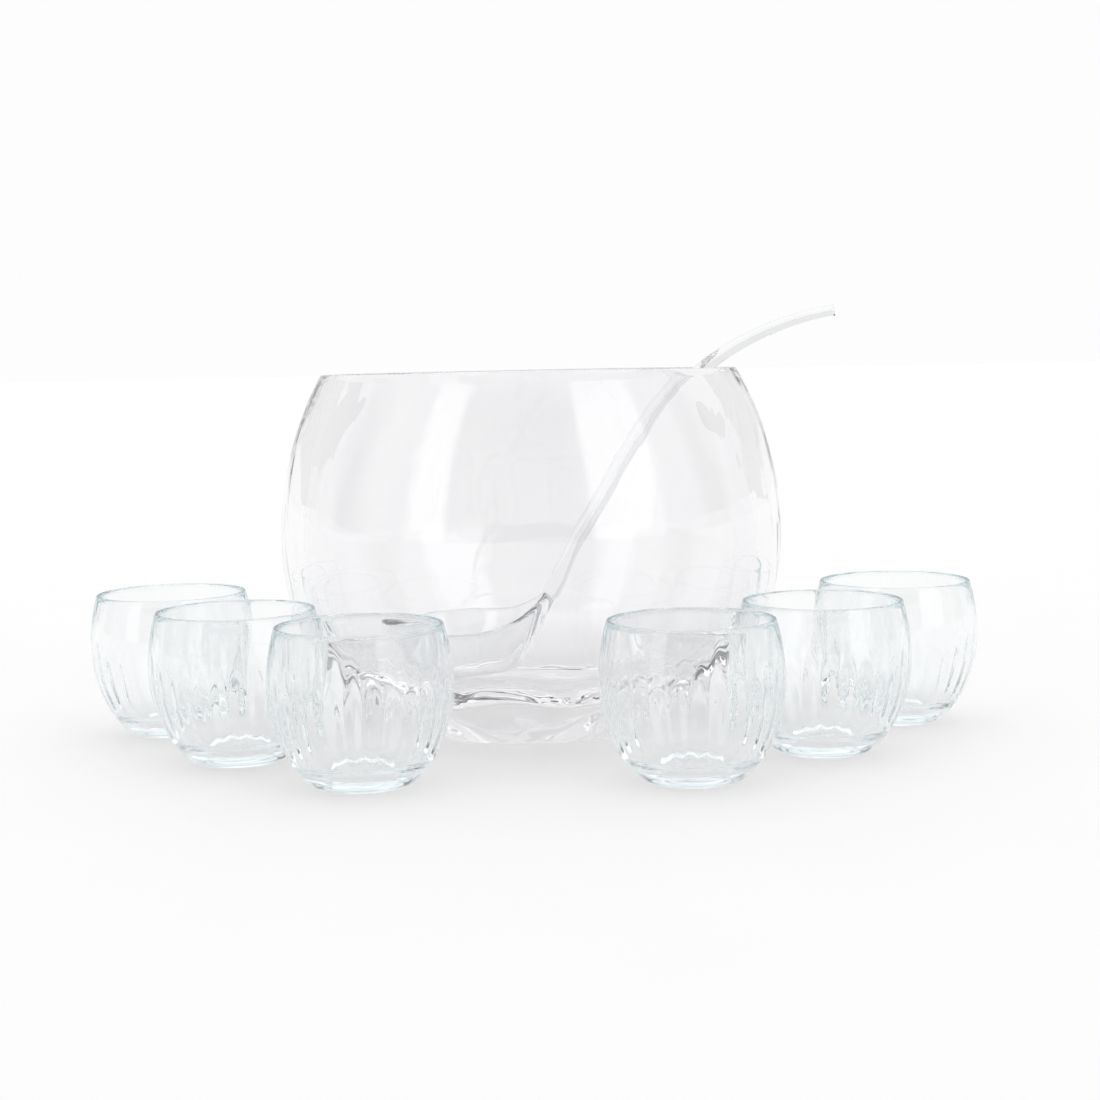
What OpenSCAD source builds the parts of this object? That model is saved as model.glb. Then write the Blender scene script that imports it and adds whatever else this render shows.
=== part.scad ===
/* [Bowl] */
// Widest outside radius of the bowl, at its belly
bowl_r = 140; // [110:0.5:180]
// Height of the bowl from its foot to its lip
bowl_h = 197; // [150:0.5:240]
// Height of the belly above the foot
belly_z = 105; // [80:0.5:125]
// Outside radius of the mouth
mouth_r = 115.5; // [90:0.5:135]
// Radius of the flat foot
foot_r = 78; // [60:0.5:88]
// Height where the side turns in towards the foot
heel_z = 45; // [30:0.5:60]
// Radius of the side's long curve below the belly
side_arc_r = 150; // [135:1:185]
// Thickness of the wall at the belly
belly_wall = 13; // [8:0.5:16]
// Thickness of the wall at the mouth
lip_wall = 11.5; // [7:0.5:14]
// Radius of the polished edges of the lip
lip_edge_r = 2.5; // [1:0.1:3]
// Thickness of the floor at its middle
floor_t = 15; // [10:0.5:22]
// Radius of the dished inside of the floor
floor_dish_r = 420; // [300:10:800]

/* [Ladle] */
// Outside radius of the ball that the ladle's cup is cut from
scoop_ball_r = 46; // [36:0.5:54]
// Outside depth of the ladle's cup
scoop_depth = 37; // [28:0.5:44]
// Thickness of the wall of the ladle's cup
scoop_wall = 3.5; // [2.5:0.1:5]
// How far the ladle's cup lies from the bowl's middle
scoop_offset = 41; // [25:0.5:48]
// Radius of the handle's long, slow curve up from the ladle's cup
handle_low_r = 600; // [400:10:1200]
// Radius of the tighter curve that carries the handle over the lip to its end
handle_bend_r = 160; // [130:1:200]
// Slope of the handle where it crosses the bowl's lip
handle_lip_slope = 35; // [28:1:42]
// Diameter of the handle where it joins the ladle's cup
handle_root_d = 9; // [7:0.1:11]
// Diameter of the handle where it crosses the bowl's lip
handle_lip_d = 8; // [6:0.1:10]
// Diameter of the handle at its cut end
handle_end_d = 6.2; // [5:0.1:9]
// Length of the handle that shows past the bowl's lip
handle_tail = 76; // [40:1:95]
// How far the bead that joins handle and cup stands out round the handle
bead_swell = 1.5; // [1:0.1:3]

/* [Cups] */
// Widest outside radius of a cup
cup_r = 45; // [36:0.5:54]
// Height of a cup
cup_h = 79; // [65:0.5:95]
// Height of the widest part of a cup
cup_belly_z = 49; // [40:0.5:56]
// Outside radius of a cup's mouth
cup_mouth_r = 40.5; // [32:0.5:48]
// Radius of a cup's flat foot
cup_foot_r = 24.5; // [20:0.5:30]
// Thickness of a cup's wall at its belly
cup_belly_wall = 4.2; // [3:0.1:5.5]
// Thickness of a cup's wall at its lip
cup_lip_wall = 2.2; // [1.6:0.1:3]
// Thickness of a cup's heavy base
cup_base_t = 9; // [6:0.5:14]
// Radius of the floor inside a cup
cup_floor_r = 23; // [18:0.5:28]

/* [Layout] */
// Angle from the front to the first cup on the left
front_left_angle = 27.5; // [22:0.5:32]
// Angle from the front to the first cup on the right
front_right_angle = 24.5; // [22:0.5:32]
// Gap between neighbouring cups
cup_gap = 3.5; // [1:0.5:8]
// Smallest gap between a near cup and the bowl
bowl_gap = 3; // [1:0.5:8]
// How much farther out the last cup on each side stands
back_step = 20; // [5:1:40]
// Clearance between the ladle and the bowl it rests in
rest_gap = 0.3; // [0.3:0.1:1]

/* [Hidden] */
$fn = 180;

// Radius of the arc that leaves the upright at a belly and is set in by inset after rise
function belly_arc_r(inset, rise) = (inset * inset + rise * rise) / (2 * inset);

// The bowl's outside: neck arc above the belly, side arc below it, then the heel arc to the foot
neck_arc_r = belly_arc_r(bowl_r - mouth_r, bowl_h - belly_z);
inner_neck_arc_r = belly_arc_r(
    (bowl_r - belly_wall) - (mouth_r - lip_wall), bowl_h - belly_z
);
side_x = bowl_r - side_arc_r;
heel_angle = asin((belly_z - heel_z) / side_arc_r);
heel_dir = [cos(heel_angle), -sin(heel_angle)];
foot_edge = [foot_r - side_x, -belly_z];
// The heel arc touches the side arc at the heel's height and runs through the foot's edge
heel_step = (side_arc_r ^ 2 - foot_edge * foot_edge)
    / (2 * (side_arc_r - foot_edge * heel_dir));
heel_arc_r = side_arc_r - heel_step;
heel_c = [side_x, belly_z] + heel_step * heel_dir;

// A cup's outside and inside: one arc above its belly and one below
cup_neck_arc_r = belly_arc_r(cup_r - cup_mouth_r, cup_h - cup_belly_z);
cup_side_arc_r = belly_arc_r(cup_r - cup_foot_r, cup_belly_z);
cup_inner_r = cup_r - cup_belly_wall;
cup_inner_neck_r = belly_arc_r(
    cup_inner_r - (cup_mouth_r - cup_lip_wall), cup_h - cup_belly_z
);
cup_inner_side_r = belly_arc_r(cup_inner_r - cup_floor_r, cup_belly_z - cup_base_t);

// Outside radius of the bowl and of a cup at a height, for placing the cups
function bowl_r_at(z) =
    z > belly_z ? bowl_r - neck_arc_r + sqrt(neck_arc_r ^ 2 - (z - belly_z) ^ 2)
    : z > heel_z ? side_x + sqrt(side_arc_r ^ 2 - (z - belly_z) ^ 2)
    : heel_c.x + sqrt(heel_arc_r ^ 2 - (z - heel_c.y) ^ 2);
function cup_r_at(z) =
    let(arc_r = z > cup_belly_z ? cup_neck_arc_r : cup_side_arc_r)
    cup_r - arc_r + sqrt(arc_r ^ 2 - (z - cup_belly_z) ^ 2);

// The near cups stand as close to the bowl as their widest sum of radii lets them
place_steps = 40;
near_ring = bowl_gap + max([
    for (i = [0 : place_steps]) bowl_r_at(cup_h * i / place_steps) + cup_r_at(cup_h * i / place_steps)
]);
far_ring = near_ring + back_step;
cup_pitch = 2 * cup_r + cup_gap;
// Angle seen from the bowl's middle between cups a pitch apart at radii a and b
function angle_apart(a, b) = acos((a * a + b * b - cup_pitch ^ 2) / (2 * a * b));
near_step_angle = angle_apart(near_ring, near_ring);
back_step_angle = angle_apart(near_ring, far_ring);

// The ladle's ball rests on the dished floor; its cup is the ball below scoop_rim_z
scoop_x = -scoop_offset;
scoop_ball_z = floor_t + floor_dish_r
    - sqrt((floor_dish_r - scoop_ball_r - rest_gap) ^ 2 - scoop_offset ^ 2);
scoop_rim_drop = scoop_ball_r - scoop_depth;
scoop_rim_z = scoop_ball_z - scoop_rim_drop;
scoop_rim_r = sqrt(scoop_ball_r ^ 2 - scoop_rim_drop ^ 2);

// The point at distance a from p and b from q, on the right of the way from p to q
function circle_meet(p, a, q, b) =
    let(
        span = norm(q - p),
        along = (a * a - b * b + span * span) / (2 * span),
        u = (q - p) / span
    )
    p + along * u + sqrt(a * a - along * along) * [u.y, -u.x];

// The handle's upper arc leans on the inner edge of the lip; the lower one runs on
// from it to the cup's edge, and the two touch where they meet
lip_edge_c = [mouth_r - lip_wall + lip_edge_r, bowl_h - lip_edge_r];
handle_edge = [scoop_x + scoop_rim_r - scoop_wall / 2, scoop_rim_z];
lean = lip_edge_r + handle_lip_d / 2 + rest_gap;
// Angles on the arcs, from +X: over the lip, at the cut end, where they meet, at the cup
function way_to(p, q) = atan2(q.y - p.y, q.x - p.x);
lip_angle = 90 + handle_lip_slope;
end_angle = lip_angle - handle_tail * 180 / (PI * handle_bend_r);
bend_c = lip_edge_c + (lean - handle_bend_r) * [cos(lip_angle), sin(lip_angle)];
low_c = circle_meet(handle_edge, handle_low_r, bend_c, handle_low_r - handle_bend_r);
meet_angle = way_to(low_c, bend_c);
root_angle = way_to(low_c, handle_edge);

// The handle's way, as [centre, radius, angle, share of the taper before it] at each ring:
// the first taper runs to the lip (share 1) and the second to the cut end (share 2)
low_rings = 12;
bend_rings = 22;
handle_rings = low_rings + bend_rings;
low_run = handle_low_r * (root_angle - meet_angle);
lip_run = low_run + handle_bend_r * (meet_angle - lip_angle);
end_run = handle_bend_r * (lip_angle - end_angle);
function taper_share(run) = run < lip_run ? run / lip_run : 1 + (run - lip_run) / end_run;
handle_way = [
    for (i = [0 : handle_rings])
    let(
        a = i < low_rings
            ? root_angle + (meet_angle - root_angle) * i / low_rings
            : meet_angle + (end_angle - meet_angle) * (i - low_rings) / bend_rings
    )
    i < low_rings
        ? [low_c, handle_low_r, a, taper_share(handle_low_r * (root_angle - a))]
        : [bend_c, handle_bend_r, a, taper_share(low_run + handle_bend_r * (meet_angle - a))]
];
function handle_d_at(share) = share < 1
    ? handle_root_d + (handle_lip_d - handle_root_d) * share
    : handle_lip_d + (handle_end_d - handle_lip_d) * (share - 1);
handle_sides = 20;
function handle_ring(way) = [
    for (s = [0 : handle_sides - 1])
    let(
        turn = 360 * s / handle_sides,
        half = handle_d_at(way[3]) / 2,
        reach = way[1] + half * cos(turn)
    )
    [way[0].x + reach * cos(way[2]), half * sin(turn), way[0].y + reach * sin(way[2])]
];

// Half outline of a vessel between its axis and an arc of radius r about c, from low to high
module arc_side(c, r, low, high) {
    intersection() {
        union() {
            translate(c) circle(r);
            if (c.x > 0) translate([0, low]) square([c.x, high - low]);
        }
        translate([0, low]) square([c.x + r, high - low]);
    }
}

// Bowl's outline set in by wall all round below the belly, with the neck arc given
module bowl_outline(wall, neck_r, top) {
    arc_side([bowl_r - wall - neck_r, belly_z], neck_r, belly_z, top);
    arc_side([side_x, belly_z], side_arc_r - wall, heel_z, belly_z);
    arc_side(heel_c, heel_arc_r - wall, 0, heel_z);
}

// The lip's section: a block with its two top edges rounded
module lip_section() {
    inner = mouth_r - lip_wall;
    translate([inner, bowl_h - 2 * lip_edge_r]) square([lip_wall, lip_edge_r]);
    translate([inner + lip_edge_r, bowl_h - lip_edge_r])
        square([lip_wall - 2 * lip_edge_r, lip_edge_r]);
    for (x = [inner + lip_edge_r, mouth_r - lip_edge_r])
        translate([x, bowl_h - lip_edge_r]) circle(lip_edge_r);
}

// Thick blown bowl: outer skin less the hollow, with the polished lip on top
module bowl() {
    color([0.86, 0.9, 0.92, 0.5])
    rotate_extrude() {
        difference() {
            bowl_outline(0, neck_arc_r, bowl_h - lip_edge_r);
            intersection() {
                bowl_outline(belly_wall, inner_neck_arc_r, bowl_h);
                translate([0, floor_t + floor_dish_r]) circle(floor_dish_r, $fn = 720);
            }
        }
        intersection() {
            lip_section();
            bowl_outline(0, neck_arc_r, bowl_h);
        }
    }
}

// Half outline of a cup or of its hollow: widest radius r, an arc up to high and one down to low
module cup_outline(r, neck_r, side_r, low, high) {
    arc_side([r - neck_r, cup_belly_z], neck_r, cup_belly_z, high);
    arc_side([r - side_r, cup_belly_z], side_r, low, cup_belly_z);
}

// Roly-poly cup with a fire-polished lip, standing at angle from the front on a ring
module cup(angle, ring) {
    lip_r = cup_lip_wall / 2;
    lip_z = cup_h - lip_r;
    color([0.8, 0.92, 0.93, 0.5])
    translate([ring * sin(angle), -ring * cos(angle), 0])
    rotate_extrude() {
        difference() {
            cup_outline(cup_r, cup_neck_arc_r, cup_side_arc_r, 0, lip_z);
            cup_outline(cup_inner_r, cup_inner_neck_r, cup_inner_side_r, cup_base_t, cup_h);
        }
        translate([cup_r_at(lip_z) - lip_r, lip_z]) circle(lip_r);
    }
}

// Ladle's cup: part of a ball and the bead that takes the handle, hollowed out together
module scoop() {
    difference() {
        union() {
            translate([scoop_x, 0, scoop_ball_z])
            intersection() {
                sphere(scoop_ball_r);
                translate([0, 0, -scoop_ball_r]) cylinder(h = scoop_depth, r = scoop_ball_r);
            }
            translate([handle_edge.x, 0, handle_edge.y])
                sphere(d = handle_root_d + 2 * bead_swell);
        }
        translate([scoop_x, 0, scoop_ball_z]) sphere(scoop_ball_r - scoop_wall);
    }
}

// Bent handle: a round rod swept along its two arcs, tapering to a flat cut end
module handle() {
    rings = [for (way = handle_way) handle_ring(way)];
    last = handle_rings * handle_sides;
    polyhedron(
        points = [for (ring = rings, p = ring) p],
        faces = concat(
            [[for (s = [handle_sides - 1 : -1 : 0]) s]],
            [
                for (i = [0 : handle_rings - 1], s = [0 : handle_sides - 1])
                let(n = (s + 1) % handle_sides, a = i * handle_sides, b = a + handle_sides)
                [a + s, a + n, b + n, b + s]
            ],
            [[for (s = [0 : handle_sides - 1]) last + s]]
        )
    );
}

// One clear ladle: its cup with the handle melted on
module ladle() {
    color([0.88, 0.92, 0.94, 0.5]) {
        scoop();
        handle();
    }
}

bowl();
ladle();
cup(-front_left_angle, near_ring);  // cup_front_left
cup(-front_left_angle - near_step_angle, near_ring);  // cup_middle_left
cup(-front_left_angle - near_step_angle - back_step_angle, far_ring);  // cup_back_left
cup(front_right_angle, near_ring);  // cup_front_right
cup(front_right_angle + near_step_angle, near_ring);  // cup_middle_right
cup(front_right_angle + near_step_angle + back_step_angle, far_ring);  // cup_back_right
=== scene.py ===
"""A glass punch bowl set: a thick blown bowl, the ladle that leans in it and six ribbed cups.

Each glass piece is turned as a smooth closed skin in the space that its machined
solid holds, and it rides on the same body. All sizes are in metres.
"""
import logging
import math
from collections.abc import Callable, Sequence
from dataclasses import dataclass, field
from enum import Enum

import bpy
from mathutils import Matrix, Vector, noise


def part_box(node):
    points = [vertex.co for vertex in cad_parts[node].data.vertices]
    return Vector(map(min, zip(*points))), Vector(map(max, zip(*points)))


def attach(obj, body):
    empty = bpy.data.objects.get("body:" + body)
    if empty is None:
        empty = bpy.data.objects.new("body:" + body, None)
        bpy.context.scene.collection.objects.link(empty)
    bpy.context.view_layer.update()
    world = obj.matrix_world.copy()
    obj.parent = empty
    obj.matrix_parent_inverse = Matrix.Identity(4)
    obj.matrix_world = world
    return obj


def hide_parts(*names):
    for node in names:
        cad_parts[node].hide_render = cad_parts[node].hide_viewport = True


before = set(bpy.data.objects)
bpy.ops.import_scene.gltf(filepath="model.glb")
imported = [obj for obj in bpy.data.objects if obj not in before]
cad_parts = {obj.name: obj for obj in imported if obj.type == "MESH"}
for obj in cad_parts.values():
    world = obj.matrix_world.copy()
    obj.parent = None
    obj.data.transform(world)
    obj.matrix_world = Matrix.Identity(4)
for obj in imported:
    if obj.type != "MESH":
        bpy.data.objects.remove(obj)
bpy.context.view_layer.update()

log = logging.getLogger("punch_bowl")

Point = tuple[float, float]
Colour = tuple[float, float, float]


# ---------------------------------------------------------------- shader maths


class Wire:
    """A shader socket whose arithmetic adds the Math nodes that carry it out."""

    def __init__(self, bench: "Bench", socket: bpy.types.NodeSocket) -> None:
        """Wraps a socket.

        Args:
            bench: the node tree's bench, which adds the nodes.
            socket: the output socket that holds the value.
        """
        self.bench = bench
        self.socket = socket

    def _math(self, operation: str, first: "Wire | float", second: "Wire | float") -> "Wire":
        """Adds one Math node.

        Args:
            operation: the node's operation.
            first: its first value.
            second: its second value.

        Returns:
            The node's result.
        """
        made = self.bench.node("ShaderNodeMath", {"operation": operation}, {0: first, 1: second})
        return Wire(self.bench, made.outputs[0])

    def __add__(self, other: "Wire | float") -> "Wire":
        """Sum."""
        return self._math("ADD", self, other)

    def __radd__(self, other: float) -> "Wire":
        """Sum with a number on the left."""
        return self._math("ADD", other, self)

    def __sub__(self, other: "Wire | float") -> "Wire":
        """Difference."""
        return self._math("SUBTRACT", self, other)

    def __rsub__(self, other: float) -> "Wire":
        """Difference with a number on the left."""
        return self._math("SUBTRACT", other, self)

    def __mul__(self, other: "Wire | float") -> "Wire":
        """Product."""
        return self._math("MULTIPLY", self, other)

    def __rmul__(self, other: float) -> "Wire":
        """Product with a number on the left."""
        return self._math("MULTIPLY", other, self)

    def __pow__(self, other: float) -> "Wire":
        """Power."""
        return self._math("POWER", self, other)

    def __abs__(self) -> "Wire":
        """Size without sign."""
        return self._math("ABSOLUTE", self, 0.0)

    def towards(self, other: "Wire") -> "Wire":
        """Angle in radians of the point whose height is this value and whose run is other."""
        return self._math("ARCTAN2", self, other)

    def ramp(self, low: float, high: float) -> "Wire":
        """Smooth step from 0 at low to 1 at high, or down again where low is the higher.

        Args:
            low: value that gives 0.
            high: value that gives 1.

        Returns:
            The stepped value.
        """
        made = self.bench.node(
            "ShaderNodeMapRange",
            {"interpolation_type": "SMOOTHSTEP"},
            {"Value": self, "From Min": low, "From Max": high},
        )
        return Wire(self.bench, made.outputs["Result"])


class Bench:
    """Builds one node tree."""

    def __init__(self, tree: bpy.types.NodeTree) -> None:
        """Empties a tree to build in.

        Args:
            tree: the tree of a material or a world.
        """
        self.tree = tree
        tree.nodes.clear()

    def node(
        self, kind: str, settings: dict | None = None, inputs: dict | None = None
    ) -> bpy.types.Node:
        """Adds a node, with its settings made before its sockets are filled.

        Args:
            kind: the node's type.
            settings: the node's own properties.
            inputs: values, sockets or Wires by socket name or number.

        Returns:
            The node.
        """
        made = self.tree.nodes.new(kind)
        for name, value in (settings or {}).items():
            setattr(made, name, value)
        for name, value in (inputs or {}).items():
            if isinstance(value, Wire):
                value = value.socket
            if isinstance(value, bpy.types.NodeSocket):
                self.tree.links.new(value, made.inputs[name])
            else:
                made.inputs[name].default_value = value
        return made

    def wire(self, kind: str, output: str, settings: dict | None = None,
             inputs: dict | None = None) -> Wire:
        """Adds a node and wraps one of its outputs.

        Args:
            kind: the node's type.
            output: name of the output to wrap.
            settings: the node's own properties.
            inputs: values or links of its sockets.

        Returns:
            The output.
        """
        return Wire(self, self.node(kind, settings, inputs).outputs[output])

    def blend(self, share: Wire, first: Colour, second: Colour) -> bpy.types.NodeSocket:
        """Mixes two colours.

        Args:
            share: 0 for the first, 1 for the second.
            first: the first colour.
            second: the second colour.

        Returns:
            The mixed colour's socket.
        """
        made = self.node("ShaderNodeMix", {"data_type": "RGBA"}, {"Factor": share})
        made.inputs["A"].default_value = (*first, 1.0)
        made.inputs["B"].default_value = (*second, 1.0)
        return made.outputs["Result"]


# -------------------------------------------------------------------- finishes


@dataclass(frozen=True)
class GlassFinish:
    """Clear glass with faint cords and streaks in it, and a tint that deepens with its thickness."""

    name: str
    pale: Colour
    cool: Colour
    keeps: Colour
    tint_density: float
    smooth: float = 0.0
    misted: float = 0.02
    streak_size: float = 26.0
    streak_rise: float = 0.35
    ripple_size: float = 60.0
    ripple_height: float = 0.0004
    index: float = 1.5

    def make(self) -> bpy.types.Material:
        """Builds the material.

        Returns:
            The glass.
        """
        material = bpy.data.materials.new(self.name)
        material.use_nodes = True
        bench = Bench(material.node_tree)
        place = bench.node("ShaderNodeTexCoord").outputs["Object"]
        drawn = bench.node(
            "ShaderNodeMapping", None, {"Vector": place, "Scale": (1.0, 1.0, self.streak_rise)}
        ).outputs["Vector"]
        streaks = bench.wire(
            "ShaderNodeTexNoise", "Fac", None,
            {"Vector": drawn, "Scale": self.streak_size, "Detail": 3.0, "Roughness": 0.45},
        )
        ripple = bench.wire(
            "ShaderNodeTexNoise", "Fac", None,
            {"Vector": drawn, "Scale": self.ripple_size, "Detail": 1.0},
        )
        bump = bench.node(
            "ShaderNodeBump", None,
            {"Height": ripple, "Strength": 0.5, "Distance": self.ripple_height},
        )
        glass = bench.node(
            "ShaderNodeBsdfPrincipled", {"distribution": "GGX"},
            {
                "Base Color": bench.blend(streaks.ramp(0.35, 0.7), self.pale, self.cool),
                "Roughness": streaks.ramp(0.45, 0.8) * self.misted + self.smooth,
                "IOR": self.index,
                "Transmission Weight": 1.0,
                "Normal": bump.outputs["Normal"],
            },
        )
        depth = bench.node(
            "ShaderNodeVolumeAbsorption", None,
            {"Color": (*self.keeps, 1.0), "Density": self.tint_density},
        )
        bench.node(
            "ShaderNodeOutputMaterial", None,
            {"Surface": glass.outputs["BSDF"], "Volume": depth.outputs["Volume"]},
        )
        return material


@dataclass(frozen=True)
class TableFinish:
    """Matt table top with a faint mottle, which glows evenly as a light table does."""

    name: str = "table_top"
    light: Colour = (0.44, 0.44, 0.44)
    shade: Colour = (0.42, 0.42, 0.42)
    mottle_size: float = 9.0
    glow: float = 0.57

    def make(self) -> bpy.types.Material:
        """Builds the material.

        Returns:
            The table top's finish.
        """
        material = bpy.data.materials.new(self.name)
        material.use_nodes = True
        bench = Bench(material.node_tree)
        place = bench.node("ShaderNodeTexCoord").outputs["Object"]
        mottle = bench.wire(
            "ShaderNodeTexNoise", "Fac", None, {"Vector": place, "Scale": self.mottle_size}
        )
        top = bench.node(
            "ShaderNodeBsdfPrincipled", None,
            {
                "Base Color": bench.blend(mottle, self.light, self.shade),
                "Roughness": mottle.ramp(0.0, 1.0) * 0.1 + 0.7,
                "Specular IOR Level": 0.1,
                "Emission Color": (1.0, 1.0, 1.0, 1.0),
                "Emission Strength": self.glow,
            },
        )
        bench.node("ShaderNodeOutputMaterial", None, {"Surface": top.outputs["BSDF"]})
        return material


class Finish(Enum):
    """The finishes of the set."""

    BOWL = GlassFinish(
        "bowl_glass", (0.977, 0.976, 0.982), (0.955, 0.953, 0.962), (0.90, 0.892, 0.902), 3.0
    )
    LADLE = GlassFinish(
        "ladle_glass", (0.985, 0.988, 0.99), (0.965, 0.972, 0.976), (0.88, 0.9, 0.92), 6.0,
        streak_size=90.0,
    )
    CUP = GlassFinish(
        "cup_glass", (0.996, 0.999, 1.0), (0.984, 0.993, 0.996), (0.62, 0.86, 0.93), 2.2,
        streak_size=60.0, ripple_size=70.0, ripple_height=0.00008,
    )
    TABLE = TableFinish()


# ------------------------------------------------------------- modelling tools


def arc(centre: Point, radius: float, start: float, end: float, pieces: int) -> list[Point]:
    """Points along a circular arc of an outline.

    Args:
        centre: the arc's centre.
        radius: its radius.
        start: angle of its first point, in radians from outwards.
        end: angle of its last point.
        pieces: number of straight pieces.

    Returns:
        The points, both ends included.
    """
    angles = (start + (end - start) * i / pieces for i in range(pieces + 1))
    return [(centre[0] + radius * math.cos(a), centre[1] + radius * math.sin(a)) for a in angles]


def bend(first: Point, corner: Point, last: Point, pieces: int) -> list[Point]:
    """Points that round a corner from one point to another.

    Args:
        first: where the rounding starts.
        corner: the sharp corner that it replaces.
        last: where it ends.
        pieces: number of straight pieces.

    Returns:
        The points, both ends included.
    """
    points = []
    for i in range(pieces + 1):
        t = i / pieces
        weights = ((1 - t) ** 2, 2 * t * (1 - t), t * t)
        points.append(tuple(
            sum(w * p[axis] for w, p in zip(weights, (first, corner, last))) for axis in (0, 1)
        ))
    return points


def belly_arc(inset: float, rise: float) -> float:
    """Radius of the arc that leaves the upright at a belly and is set in by inset after rise."""
    return (inset * inset + rise * rise) / (2 * inset)


def step(low: float, high: float, value: float) -> float:
    """Smooth step from 0 at low to 1 at high, or down again where low is the higher."""
    t = min(max((value - low) / (high - low), 0.0), 1.0)
    return t * t * (3 - 2 * t)


def deselect() -> None:
    """Leaves edit mode and deselects everything."""
    if bpy.context.mode != "OBJECT":
        bpy.ops.object.mode_set(mode="OBJECT")
    bpy.ops.object.select_all(action="DESELECT")


def pick(piece: bpy.types.Object) -> None:
    """Selects one object alone and makes it active."""
    deselect()
    piece.select_set(True)
    bpy.context.view_layer.objects.active = piece


def turn(name: str, outline: Sequence[Point], steps: int) -> bpy.types.Object:
    """Turns an outline round the upright axis into a closed skin.

    Args:
        name: the new object's name.
        outline: radius and height of each point, from the axis to the axis.
        steps: number of steps round.

    Returns:
        The turned piece.
    """
    deselect()
    bpy.ops.mesh.primitive_plane_add(size=0.01)
    piece = bpy.context.object
    piece.name = name
    bpy.ops.object.mode_set(mode="EDIT")
    bpy.ops.mesh.select_all(action="SELECT")
    bpy.ops.mesh.merge(type="CENTER")
    bpy.ops.transform.translate(value=(outline[0][0], 0.0, outline[0][1]))
    for here, there in zip(outline, outline[1:]):
        bpy.ops.mesh.extrude_region_move(
            TRANSFORM_OT_translate={"value": (there[0] - here[0], 0.0, there[1] - here[1])}
        )
    bpy.ops.mesh.select_all(action="SELECT")
    bpy.ops.mesh.spin(steps=steps, angle=math.tau, center=(0, 0, 0), axis=(0, 0, 1))
    bpy.ops.mesh.select_all(action="SELECT")
    bpy.ops.mesh.remove_doubles(threshold=1e-6)
    bpy.ops.mesh.normals_make_consistent(inside=False)
    bpy.ops.object.mode_set(mode="OBJECT")
    bpy.ops.object.shade_smooth()
    return piece


def press(
    piece: bpy.types.Object, label: str, depth: float, share: Callable[[Vector], float],
    along: str = "NORMAL",
) -> None:
    """Moves a surface by a depth times each point's share of it.

    Args:
        piece: the piece to work on.
        label: name of the marks that it leaves while it works.
        depth: how far a point with a share of 1 moves, outwards where positive.
        share: gives a point's share, from 0 to 1.
        along: NORMAL, X, Y or Z.
    """
    marks = piece.vertex_groups.new(name=label)
    for vertex in piece.data.vertices:
        marks.add([vertex.index], min(max(share(vertex.co), 0.0), 1.0), "REPLACE")
    pick(piece)
    work = piece.modifiers.new(label, "DISPLACE")
    work.strength = depth
    work.mid_level = 0.0
    work.direction = along
    work.vertex_group = label
    bpy.ops.object.modifier_apply(modifier=label)
    piece.vertex_groups.remove(piece.vertex_groups[label])


def settle(piece: bpy.types.Object, place: Vector, heading: float = 0.0) -> None:
    """Puts a finished piece in its place and moves the place into its mesh.

    Args:
        piece: the piece, modelled round the upright axis.
        place: where its foot's middle goes.
        heading: how far it is turned about its own axis, in radians.
    """
    pick(piece)
    piece.location = place
    piece.rotation_euler = (0.0, 0.0, heading)
    bpy.ops.object.transform_apply(location=True, rotation=True, scale=True)


def present(piece: bpy.types.Object, node: str, glass: bpy.types.Material) -> None:
    """Dresses a piece, puts it on its body and lets it stand for its machined solid.

    Args:
        piece: the finished piece.
        node: name of the solid and of its body.
        glass: its material.
    """
    piece.data.materials.clear()
    piece.data.materials.append(glass)
    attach(piece, node)
    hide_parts(node)
    log.info("%s: %d points, stands for %s", piece.name, len(piece.data.vertices), node)


# ----------------------------------------------------------------- glass pieces


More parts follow.
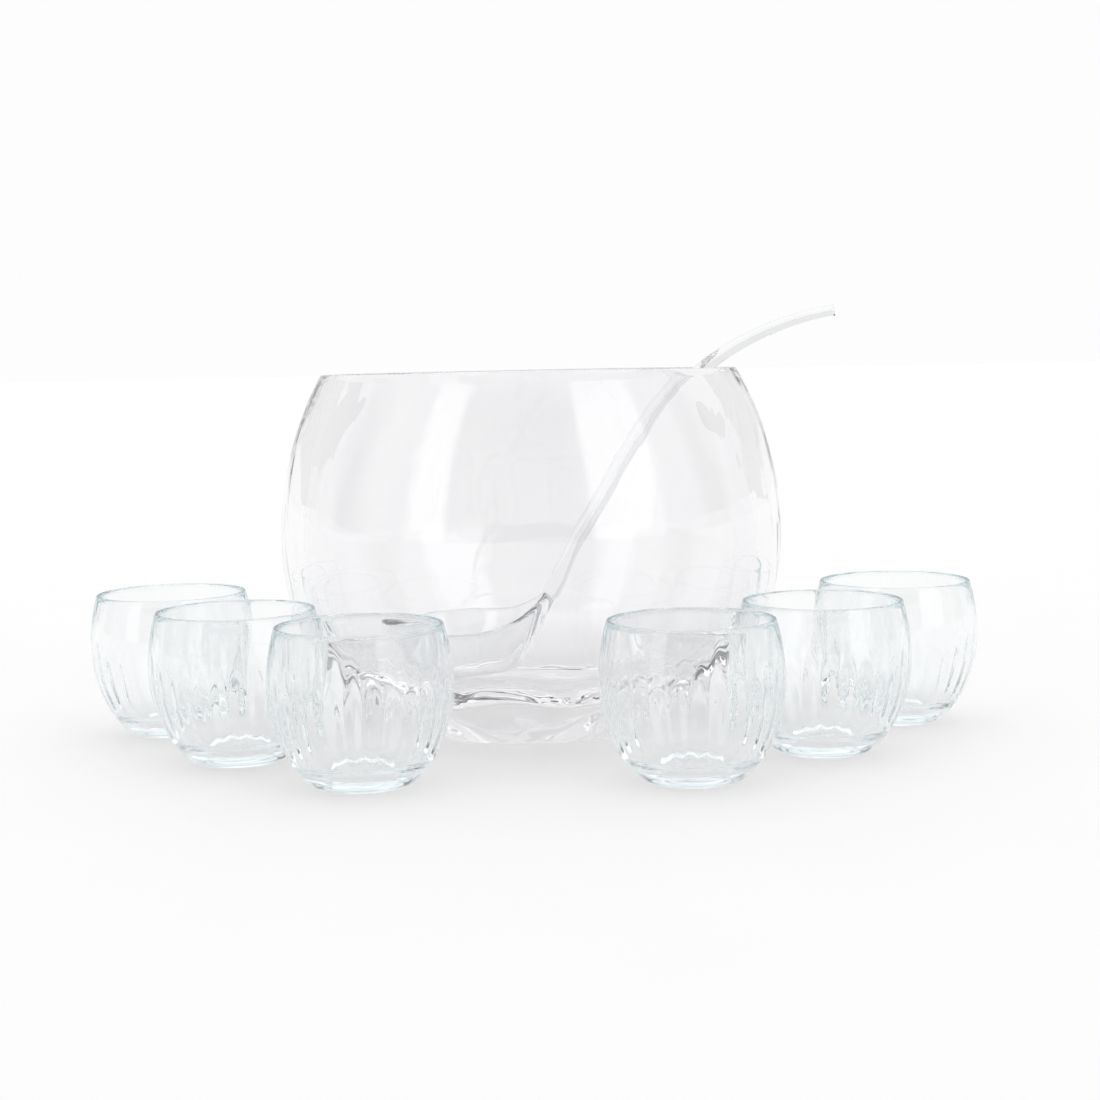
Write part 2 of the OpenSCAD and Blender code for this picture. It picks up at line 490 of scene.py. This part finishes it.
@dataclass
class Bowl:
    """Thick blown bowl with a polished lip, waved a little inside as blown glass is."""

    node: str = "bowl"
    belly_z: float = 0.105
    mouth_r: float = 0.1155
    foot_r: float = 0.078
    heel_z: float = 0.045
    side_arc_r: float = 0.150
    belly_wall: float = 0.013
    lip_wall: float = 0.0115
    lip_edge_r: float = 0.0025
    lip_outer_r: float = 0.0009
    floor_t: float = 0.015
    floor_dish_r: float = 0.42
    foot_bevel: float = 0.0025
    punt: float = 0.0012
    steps: int = 256
    wave_size: float = 24.0
    wave_depth: float = 0.0012
    floor_lobes: int = 11
    lobe_depth: float = 0.0020
    lobe_drift: float = 0.9
    lobe_reach: tuple[float, float] = (0.045, 0.085)
    lobe_rise: tuple[float, float] = (0.050, 0.028)
    dish_share: float = 0.43
    corner_in: float = 0.0112
    corner_up: float = 0.0061
    radius: float = field(init=False)
    height: float = field(init=False)

    def __post_init__(self) -> None:
        """Takes the overall size from the frame."""
        low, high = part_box(self.node)
        self.radius = (high.x - low.x) / 2
        self.height = high.z

    def lip_lean(self) -> Point:
        """Middle of the inner rounded edge of the lip, where the ladle leans."""
        return (self.mouth_r - self.lip_wall + self.lip_edge_r, self.height - self.lip_edge_r)

    def heel(self) -> tuple[Point, float]:
        """Centre and radius of the arc from the side arc's lower end to the foot's edge."""
        angle = math.asin((self.belly_z - self.heel_z) / self.side_arc_r)
        side_x = self.radius - self.side_arc_r
        way = Vector((math.cos(angle), -math.sin(angle)))
        edge = Vector((self.foot_r - side_x, -self.belly_z))
        reach = (self.side_arc_r ** 2 - edge.dot(edge)) / (2 * (self.side_arc_r - edge.dot(way)))
        return (side_x + reach * way.x, self.belly_z + reach * way.y), self.side_arc_r - reach

    def side(self, wall: float, neck_r: float, top: float, bottom: float, fine: int) -> list[Point]:
        """Outline of one side of the wall, from the bottom up.

        Args:
            wall: how far it is set in from the outside below the belly.
            neck_r: radius of its arc above the belly.
            top: height that it ends at.
            bottom: height that it starts at, below the heel's.
            fine: number of pieces in each arc.

        Returns:
            The outline.
        """
        heel_c, heel_r = self.heel()
        heel_r -= wall
        side_r = self.side_arc_r - wall
        turn_in = -math.asin((self.belly_z - self.heel_z) / self.side_arc_r)
        low = -math.asin((heel_c[1] - bottom) / heel_r)
        neck_c = (self.radius - wall - neck_r, self.belly_z)
        high = math.asin((top - self.belly_z) / neck_r)
        return (
            arc(heel_c, heel_r, low, turn_in, fine)
            + arc((self.radius - self.side_arc_r, self.belly_z), side_r, turn_in, 0.0, fine)[1:]
            + arc(neck_c, neck_r, 0.0, high, fine)[1:]
        )

    def outline(self) -> list[Point]:
        """The whole section: out along the foot, up the outside, over the lip and down inside."""
        rise = self.height - self.belly_z
        edge = self.lip_edge_r
        neck_r = belly_arc(self.radius - self.mouth_r, rise)
        inner_r = belly_arc(
            self.radius - self.belly_wall - (self.mouth_r - self.lip_wall), rise
        )
        sharp = self.lip_outer_r
        outside = self.side(0.0, neck_r, self.height - sharp * 1.4, self.foot_bevel, 26)
        inside = self.side(
            self.belly_wall, inner_r, self.height - edge * 1.4, self.heel_z - 0.001, 26
        )
        ring = self.foot_r - 2 * self.foot_bevel
        foot = bend((0.0, self.punt), (ring * 0.8, self.punt), (ring - 0.004, 0.0), 16)
        foot += bend((ring, 0.0), (self.foot_r, 0.0), outside[0], 5)
        outer_lip = bend(
            outside[-1], (self.mouth_r, self.height), (self.mouth_r - sharp, self.height), 6
        )
        mouth_in = self.mouth_r - self.lip_wall
        inner_lip = bend(
            (mouth_in + edge, self.height), (mouth_in, self.height), inside[-1], 6
        )
        lip = [(outer_lip[-1][0] + (inner_lip[0][0] - outer_lip[-1][0]) * i / 5, self.height)
               for i in range(1, 5)]
        dish_r = self.mouth_r * self.dish_share
        dish_c = (0.0, self.floor_t + self.floor_dish_r)
        half_angle = math.asin(dish_r / self.floor_dish_r)
        dish = arc(dish_c, self.floor_dish_r, half_angle - math.pi / 2, -math.pi / 2, 16)
        turn_point = (inside[0][0] - self.corner_in, dish[0][1] + self.corner_up)
        corner = bend(inside[0], turn_point, dish[0], 24)
        return (
            foot + outside[1:] + outer_lip[1:] + lip + inner_lip
            + inside[-2:0:-1] + corner + dish[1:]
        )

    def is_inside(self, point: Vector) -> bool:
        """True where a point of the skin faces the punch and not the room."""
        if point.z > self.height - self.lip_edge_r:
            return False
        reach = math.hypot(point.x, point.y)
        wall = self.belly_wall / 2
        if point.z > self.belly_z:
            neck_r = belly_arc(self.radius - self.mouth_r, self.height - self.belly_z)
            outer = self.radius - neck_r + math.sqrt(neck_r ** 2 - (point.z - self.belly_z) ** 2)
        elif point.z > self.heel_z:
            drop = self.belly_z - point.z
            outer = self.radius - self.side_arc_r + math.sqrt(self.side_arc_r ** 2 - drop ** 2)
        else:
            (x, z), heel_r = self.heel()
            outer = x + math.sqrt(max(heel_r ** 2 - (z - point.z) ** 2, 0.0))
        return reach < outer - wall and point.z > self.floor_t * 0.6

    def wave(self, point: Vector) -> float:
        """Share of the slow waves of the blown inside, stronger near the lip."""
        if not self.is_inside(point):
            return 0.0
        swirl = 0.5 + 0.5 * noise.noise(Vector((point.x, point.y, point.z * 1.3)) * self.wave_size)
        near_lip = step(self.height - 0.06, self.height - 0.01, point.z)
        return swirl * (0.7 + 0.3 * near_lip)

    def lobe(self, point: Vector) -> float:
        """Share of the lobes that run round the floor's corner."""
        if not self.is_inside(point):
            return 0.0
        around = math.atan2(point.y, point.x)
        drift = self.lobe_drift * noise.noise(Vector((math.cos(around), math.sin(around), 3.7)))
        lobes = 0.5 + 0.5 * math.cos(self.floor_lobes * around + self.lobe_drift * drift)
        reach = math.hypot(point.x, point.y)
        band = step(*self.lobe_reach, reach) * step(*self.lobe_rise, point.z)
        return lobes * band

    def build(self) -> bpy.types.Object:
        """Models the bowl.

        Returns:
            The bowl.
        """
        piece = turn("blown_bowl", self.outline(), self.steps)
        press(piece, "waves", self.wave_depth, self.wave)
        press(piece, "lobes", self.lobe_depth, self.lobe)
        settle(piece, Vector((0.0, 0.0, 0.0)))
        present(piece, self.node, Finish.BOWL.value.make())
        return piece


@dataclass
class Ladle:
    """Clear ladle: a round cup drawn up on one side into a bent rod that leans on the lip."""

    bowl: Bowl
    node: str = "ladle"
    ball_r: float = 0.046
    depth: float = 0.037
    wall: float = 0.0034
    low_r: float = 0.600
    bend_r: float = 0.160
    lip_slope: float = math.radians(35.0)
    tail: float = 0.076
    root_d: float = 0.0088
    lip_d: float = 0.0079
    end_d: float = 0.0062
    rest_gap: float = 0.0003
    root_swell: float = 0.0024
    root_width: float = math.radians(24.0)
    drawn_up: float = 0.014
    drawn_out: float = 0.003
    draw_width: float = math.radians(75.0)
    draw_depth: float = 0.024
    cup_steps: int = 144
    rod_sides: int = 28
    rod_rings: int = 60
    melt: float = 0.0007

    def __post_init__(self) -> None:
        """Places the cup and the handle's bend from the frame and the bowl's lip."""
        low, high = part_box(self.node)
        self.drop = self.ball_r - self.depth
        self.rim_r = math.sqrt(self.ball_r ** 2 - self.drop ** 2)
        self.ball = Vector((low.x + self.rim_r, 0.0, low.z + self.ball_r))
        self.rim_z = self.ball.z - self.drop
        edge = Vector((self.ball.x + self.rim_r - self.wall / 2, self.rim_z))
        lean = Vector(self.bowl.lip_lean())
        self.over_lip = math.pi / 2 + self.lip_slope
        self.end = self.over_lip - self.tail / self.bend_r
        away = self.bowl.lip_edge_r + self.lip_d / 2 + self.rest_gap - self.bend_r
        self.bend_c = lean + away * Vector((math.cos(self.over_lip), math.sin(self.over_lip)))
        span = (self.bend_c - edge).length
        way = (self.bend_c - edge) / span
        reach = self.low_r - self.bend_r
        along = (self.low_r ** 2 - reach ** 2 + span ** 2) / (2 * span)
        off = math.sqrt(self.low_r ** 2 - along ** 2)
        self.low_c = edge + way * along + Vector((way.y, -way.x)) * off
        self.meet = math.atan2(self.bend_c.y - self.low_c.y, self.bend_c.x - self.low_c.x)
        self.root = math.atan2(edge.y - self.low_c.y, edge.x - self.low_c.x)

    def cup(self) -> bpy.types.Object:
        """Turns the cup and draws its handle side up.

        Returns:
            The cup.
        """
        lip = self.wall / 2
        rim = -math.asin(self.drop / self.ball_r)
        outside = arc((0.0, 0.0), self.ball_r, -math.pi / 2, rim, 40)
        inside = arc((0.0, 0.0), self.ball_r - self.wall, rim, -math.pi / 2, 40)
        middle = (
            (outside[-1][0] + inside[0][0]) / 2, (outside[-1][1] + inside[0][1]) / 2
        )
        over = arc(middle, lip, rim, rim + math.pi, 10)
        piece = turn("blown_ladle", outside + over[1:-1] + inside, self.cup_steps)
        press(piece, "root_flow", self.root_swell, self.root_flow)
        press(piece, "drawn_up", self.drawn_up, self.draw, "Z")
        press(piece, "drawn_out", self.drawn_out, self.draw, "X")
        settle(piece, self.ball)
        return piece

    def root_flow(self, point: Vector) -> float:
        """Share of the ridge that runs from the handle's root down the outside of the cup."""
        around = abs(math.atan2(point.y, point.x))
        if around > self.root_width or point.length < self.ball_r - self.wall / 2:
            return 0.0
        sideways = math.cos(around / self.root_width * math.pi / 2) ** 2
        return sideways * step(-self.ball_r * 0.9, -self.ball_r * 0.3, point.z)

    def draw(self, point: Vector) -> float:
        """Share of the pull that draws the cup's edge up towards the handle."""
        around = abs(math.atan2(point.y, point.x))
        if around > self.draw_width:
            return 0.0
        sideways = math.cos(around / self.draw_width * math.pi / 2) ** 2
        return sideways * step(-self.drop - self.draw_depth, -self.drop, point.z)

    def rod(self) -> bpy.types.Object:
        """Sweeps the round rod along its two bends and thins it towards its cut end.

        Returns:
            The rod.
        """
        deselect()
        low_c = Vector((self.low_c.x, 0.0, self.low_c.y))
        bend_c = Vector((self.bend_c.x, 0.0, self.bend_c.y))
        out = Vector((math.cos(self.meet), 0.0, math.sin(self.meet)))
        bpy.ops.mesh.primitive_circle_add(
            vertices=self.rod_sides, radius=self.root_d / 2, fill_type="NGON",
            location=bend_c + out * self.bend_r, rotation=(0.0, -self.meet, 0.0),
        )
        piece = bpy.context.object
        piece.name = "rod"
        bpy.ops.object.transform_apply(location=True, rotation=True, scale=True)
        bpy.ops.object.duplicate(linked=False)
        lower = bpy.context.object
        for half, centre, swing in (
            (piece, bend_c, self.end - self.meet), (lower, low_c, self.root - self.meet)
        ):
            pick(half)
            bpy.ops.object.mode_set(mode="EDIT")
            bpy.ops.mesh.select_all(action="SELECT")
            bpy.ops.mesh.spin(steps=self.rod_rings, angle=swing, center=centre, axis=(0, 1, 0))
            bpy.ops.object.mode_set(mode="OBJECT")
        pick(piece)
        lower.select_set(True)
        bpy.ops.object.join()
        bpy.ops.object.mode_set(mode="EDIT")
        bpy.ops.mesh.select_all(action="SELECT")
        bpy.ops.mesh.remove_doubles(threshold=1e-6)
        bpy.ops.mesh.normals_make_consistent(inside=False)
        bpy.ops.object.mode_set(mode="OBJECT")
        bpy.ops.object.shade_smooth()
        press(piece, "thinned", (self.end_d - self.root_d) / 2, self.thinning)
        return piece

    def thinning(self, point: Vector) -> float:
        """Share of the rod's whole taper that is reached at a point."""
        here = math.atan2(point.z - self.bend_c.y, point.x - self.bend_c.x)
        at_lip = (self.root_d - self.lip_d) / (self.root_d - self.end_d)
        if here < self.over_lip:
            return at_lip + (1 - at_lip) * (self.over_lip - here) / (self.over_lip - self.end)
        low_run = self.low_r * (self.root - self.meet)
        lip_run = low_run + self.bend_r * (self.meet - self.over_lip)
        if here < self.meet:
            return at_lip * (low_run + self.bend_r * (self.meet - here)) / lip_run
        here = math.atan2(point.z - self.low_c.y, point.x - self.low_c.x)
        return at_lip * self.low_r * (self.root - here) / lip_run

    def build(self) -> bpy.types.Object:
        """Models the ladle and melts its two parts into one.

        Returns:
            The ladle.
        """
        piece = self.cup()
        rod = self.rod()
        pick(piece)
        join = piece.modifiers.new("join", "BOOLEAN")
        join.operation = "UNION"
        join.solver = "EXACT"
        join.object = rod
        bpy.ops.object.modifier_apply(modifier="join")
        bpy.data.objects.remove(rod)
        melted = piece.modifiers.new("melted", "REMESH")
        melted.mode = "VOXEL"
        melted.voxel_size = self.melt
        bpy.ops.object.modifier_apply(modifier="melted")
        flowed = piece.modifiers.new("flowed", "SMOOTH")
        flowed.factor = 0.5
        flowed.iterations = 8
        bpy.ops.object.modifier_apply(modifier="flowed")
        bpy.ops.object.shade_smooth()
        present(piece, self.node, Finish.LADLE.value.make())
        return piece


@dataclass
class CupSet:
    """Six alike roly-poly cups with soft ribs pressed inside and a heavy, lumpy base."""

    nodes: tuple[str, ...] = (
        "cup_front_left", "cup_middle_left", "cup_back_left",
        "cup_front_right", "cup_middle_right", "cup_back_right",
    )
    belly_z: float = 0.049
    mouth_r: float = 0.0405
    foot_r: float = 0.0245
    belly_wall: float = 0.0042
    lip_wall: float = 0.0022
    base_t: float = 0.009
    floor_r: float = 0.023
    punt: float = 0.0012
    heel_z: float = 0.0075
    corner_rise: float = 0.006
    ring_inset: float = 0.0075
    floor_inset: float = 0.008
    ribs: int = 28
    rib_depth: float = 0.0007
    rib_top: float = 0.058
    rib_top_drift: float = 0.006
    rib_fade: float = 0.022
    lump_depth: float = 0.0011
    lump_size: float = 55.0
    steps: int = 336
    quarter_turn: float = math.radians(47.0)

    def __post_init__(self) -> None:
        """Takes the overall size of a cup from the frame."""
        low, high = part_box(self.nodes[0])
        self.radius = (high.x - low.x) / 2
        self.height = high.z

    def outline(self) -> list[Point]:
        """The section: out along the foot, up the outside, over the lip and down to the floor."""
        rise = self.height - self.belly_z
        lip = self.lip_wall / 2
        neck_r = belly_arc(self.radius - self.mouth_r, rise)
        side_r = belly_arc(self.radius - self.foot_r, self.belly_z)
        inner = self.radius - self.belly_wall
        inner_neck_r = belly_arc(inner - (self.mouth_r - self.lip_wall), rise)
        inner_side_r = belly_arc(inner - self.floor_r, self.belly_z - self.base_t)
        side = arc(
            (self.radius - side_r, self.belly_z), side_r,
            -math.asin((self.belly_z - self.heel_z) / side_r), 0.0, 26,
        )
        lean = math.asin((rise - lip) / neck_r)
        neck = arc((self.radius - neck_r, self.belly_z), neck_r, 0.0, lean, 16)
        middle = (neck[-1][0] - lip * math.cos(lean), neck[-1][1] - lip * math.sin(lean))
        over = arc(middle, lip, lean, lean + math.pi, 8)
        inner_neck = arc(
            (inner - inner_neck_r, self.belly_z), inner_neck_r,
            math.asin((rise - 2 * lip) / inner_neck_r), 0.0, 16,
        )
        corner_z = self.base_t + self.corner_rise
        inner_side = arc(
            (inner - inner_side_r, self.belly_z), inner_side_r,
            0.0, -math.asin((self.belly_z - corner_z) / inner_side_r), 30,
        )
        ring = self.foot_r - self.ring_inset
        foot = bend((0.0, self.punt), (ring * 0.7, self.punt), (ring - 0.001, 0.0), 14)
        foot += bend((ring, 0.0), (self.foot_r + 0.0012, 0.0), side[0], 12)
        floor_edge = (self.floor_r - self.floor_inset, self.base_t)
        corner = bend(inner_side[-1], (self.floor_r - 0.0005, self.base_t), floor_edge, 10)
        floor = [(floor_edge[0] * (1 - i / 12), self.base_t) for i in range(1, 13)]
        outside = foot + side[1:] + neck[1:] + over[1:]
        return outside + inner_neck + inner_side[1:] + corner[1:] + floor

    def is_inside(self, point: Vector) -> bool:
        """True where a point of the skin faces the drink."""
        reach = math.hypot(point.x, point.y)
        if point.z < self.base_t * 0.6:
            return False
        if point.z > self.belly_z:
            arc_r = belly_arc(self.radius - self.mouth_r, self.height - self.belly_z)
        else:
            arc_r = belly_arc(self.radius - self.foot_r, self.belly_z)
        outer = self.radius - arc_r + math.sqrt(arc_r ** 2 - (point.z - self.belly_z) ** 2)
        return reach < outer - self.lip_wall * 0.6

    def rib(self, point: Vector) -> float:
        """Share of the soft upright ribs inside, each with its own upper end."""
        if not self.is_inside(point):
            return 0.0
        around = math.atan2(point.y, point.x) / math.tau * self.ribs
        which = round(around)
        ridge = 0.5 + 0.5 * math.cos((around - which) * math.tau)
        own = noise.noise(Vector((which % self.ribs * 1.7, 0.4, 0.9)))
        top = self.rib_top + self.rib_top_drift * own
        foot = step(self.base_t + 0.006, self.base_t + 0.026, point.z)
        return ridge * step(top, top - self.rib_fade, point.z) * foot

    def lump(self, point: Vector) -> float:
        """Share of the lumps left in the heavy base, over its floor and under its foot."""
        reach = math.hypot(point.x, point.y)
        swirl = 0.5 + 0.7 * noise.noise(point * self.lump_size)
        if self.is_inside(point):
            return 0.5 * swirl * step(self.base_t + 0.012, self.base_t + 0.002, point.z)
        if point.z < self.punt * 1.5:
            return swirl * step(self.foot_r - 0.007, self.foot_r - 0.011, reach)
        return 0.0

    def build(self) -> list[bpy.types.Object]:
        """Models one cup and sets out its copies, each turned its own way.

        Returns:
            The six cups.
        """
        master = turn("pressed_cup", self.outline(), self.steps)
        press(master, "ribs", self.rib_depth, self.rib)
        press(master, "lumps", -self.lump_depth, self.lump)
        glass = Finish.CUP.value.make()
        cups = []
        for number, node in enumerate(self.nodes):
            pick(master)
            bpy.ops.object.duplicate(linked=False)
            cup = bpy.context.object
            cup.name = node.replace("cup_", "pressed_cup_")
            low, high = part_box(node)
            place = Vector(((low.x + high.x) / 2, (low.y + high.y) / 2, 0.0))
            settle(cup, place, self.quarter_turn * number)
            present(cup, node, glass)
            cups.append(cup)
        bpy.data.objects.remove(master)
        return cups


# ----------------------------------------------------------------------- studio


@dataclass
class Studio:
    """Glowing table, light all round with two tall soft boxes and dark flags, and the camera."""

    table_size: float = 60.0
    foot_gap: float = 0.0004
    camera_distance: float = 1.043
    camera_height: float = 0.2031
    yaw: float = math.radians(0.556)
    pitch: float = math.radians(5.87)
    roll: float = math.radians(1.15)
    lens: float = 60.66
    backdrop: float = 0.86
    front: float = 0.7
    dim: float = 0.16
    shown: float = 0.985
    flag: float = 0.22
    flag_rise: tuple[float, float] = (math.radians(40.0), math.radians(25.0))
    ceiling: float = 1.35
    ceiling_rise: tuple[float, float] = (math.radians(45.0), math.radians(75.0))
    box_light: float = 1.8
    left_box: tuple[float, float] = (math.radians(-58.0), math.radians(-39.0))
    right_box: tuple[float, float] = (math.radians(28.0), math.radians(62.0))
    box_rise: tuple[float, float] = (math.radians(-2.0), math.radians(50.0))
    box_edge: float = math.radians(2.0)
    dim_span: tuple[float, float] = (math.radians(-37.0), math.radians(26.0))

    def table(self) -> bpy.types.Object:
        """Lays the table top.

        Returns:
            The table top.
        """
        deselect()
        bpy.ops.mesh.primitive_grid_add(
            x_subdivisions=8, y_subdivisions=8, size=self.table_size,
            location=(0.0, 0.0, -self.foot_gap),
        )
        top = bpy.context.object
        top.name = "table"
        top.data.materials.append(Finish.TABLE.value.make())
        return top

    def soft_box(self, azimuth: Wire, rise: Wire, span: tuple[float, float]) -> Wire:
        """Share of one soft box in a direction.

        Args:
            azimuth: angle of the direction round from the front.
            rise: its angle above the table.
            span: the box's two sides.

        Returns:
            1 inside the box and 0 outside, with soft edges.
        """
        edge = self.box_edge
        across = azimuth.ramp(span[0] - edge, span[0] + edge) * azimuth.ramp(
            span[1] + edge, span[1] - edge
        )
        low, high = self.box_rise
        up = rise.ramp(low - edge, low + edge) * rise.ramp(high + 4 * edge, high - 4 * edge)
        return across * up

    def light(self) -> None:
        """Lights the set by its surroundings, while the camera itself sees plain white there."""
        world = bpy.data.worlds.new("studio")
        world.use_nodes = True
        bpy.context.scene.world = world
        bench = Bench(world.node_tree)
        way = bench.node("ShaderNodeTexCoord").outputs["Generated"]
        parts = bench.node("ShaderNodeSeparateXYZ", None, {0: way})
        x, y, z = (Wire(bench, parts.outputs[i]) for i in range(3))
        azimuth = x.towards(0.0 - y)
        rise = z.towards((x * x + y * y) ** 0.5)
        behind = abs(azimuth).ramp(math.radians(75.0), math.radians(120.0))
        walls = self.front + behind * (self.backdrop - self.front)
        overhead = rise.ramp(*self.ceiling_rise)
        around = abs(azimuth)
        flags = around.ramp(math.radians(82.0), math.radians(88.0)) * around.ramp(
            math.radians(104.0), math.radians(98.0)
        ) * rise.ramp(*self.flag_rise)
        walls = walls + flags * (self.flag - walls)
        walls = walls + self.soft_box(azimuth, rise, self.dim_span) * (self.dim - walls)
        room = walls + overhead * (self.ceiling - walls)
        boxes = self.soft_box(azimuth, rise, self.left_box)
        boxes = boxes + self.soft_box(azimuth, rise, self.right_box)
        lit = room + boxes * (self.box_light - room)
        seen = bench.node("ShaderNodeLightPath").outputs["Is Camera Ray"]
        white = (1.0, 1.0, 1.0, 1.0)
        glow = bench.node("ShaderNodeBackground", None, {"Color": white, "Strength": lit})
        plain = bench.node(
            "ShaderNodeBackground", None, {"Color": white, "Strength": self.shown}
        )
        shown = bench.node(
            "ShaderNodeMixShader", None,
            {0: seen, 1: glow.outputs[0], 2: plain.outputs[0]},
        )
        bench.node("ShaderNodeOutputWorld", None, {"Surface": shown.outputs[0]})

    def camera(self) -> bpy.types.Object:
        """Stands the camera in front of the set, a little above the bowl's lip.

        Returns:
            The camera.
        """
        eye = bpy.data.cameras.new("camera")
        eye.lens = self.lens
        eye.clip_start = 0.05
        eye.clip_end = 200.0
        camera = bpy.data.objects.new("camera", eye)
        bpy.context.scene.collection.objects.link(camera)
        level = Matrix.Rotation(math.pi / 2 - self.pitch, 4, "X")
        aim = Matrix.Rotation(-self.yaw, 4, "Z")
        tilt = Matrix.Rotation(-self.roll, 4, "Z")
        place = Matrix.Translation((0.0, -self.camera_distance, self.camera_height))
        camera.matrix_world = place @ aim @ level @ tilt
        bpy.context.scene.camera = camera
        return camera

    def build(self) -> None:
        """Sets up the table, the light and the camera."""
        self.table()
        self.light()
        self.camera()
        scene = bpy.context.scene
        scene.view_settings.view_transform = "Standard"
        scene.cycles.max_bounces = 48
        scene.cycles.transmission_bounces = 48
        scene.cycles.glossy_bounces = 48
        scene.cycles.diffuse_bounces = 4


def main() -> None:
    """Builds the set piece by piece."""
    logging.basicConfig(level=logging.INFO, format="%(message)s")
    Studio().build()
    bowl = Bowl()
    bowl.build()
    Ladle(bowl).build()
    CupSet().build()
    deselect()


if __name__ == "__main__":
    main()
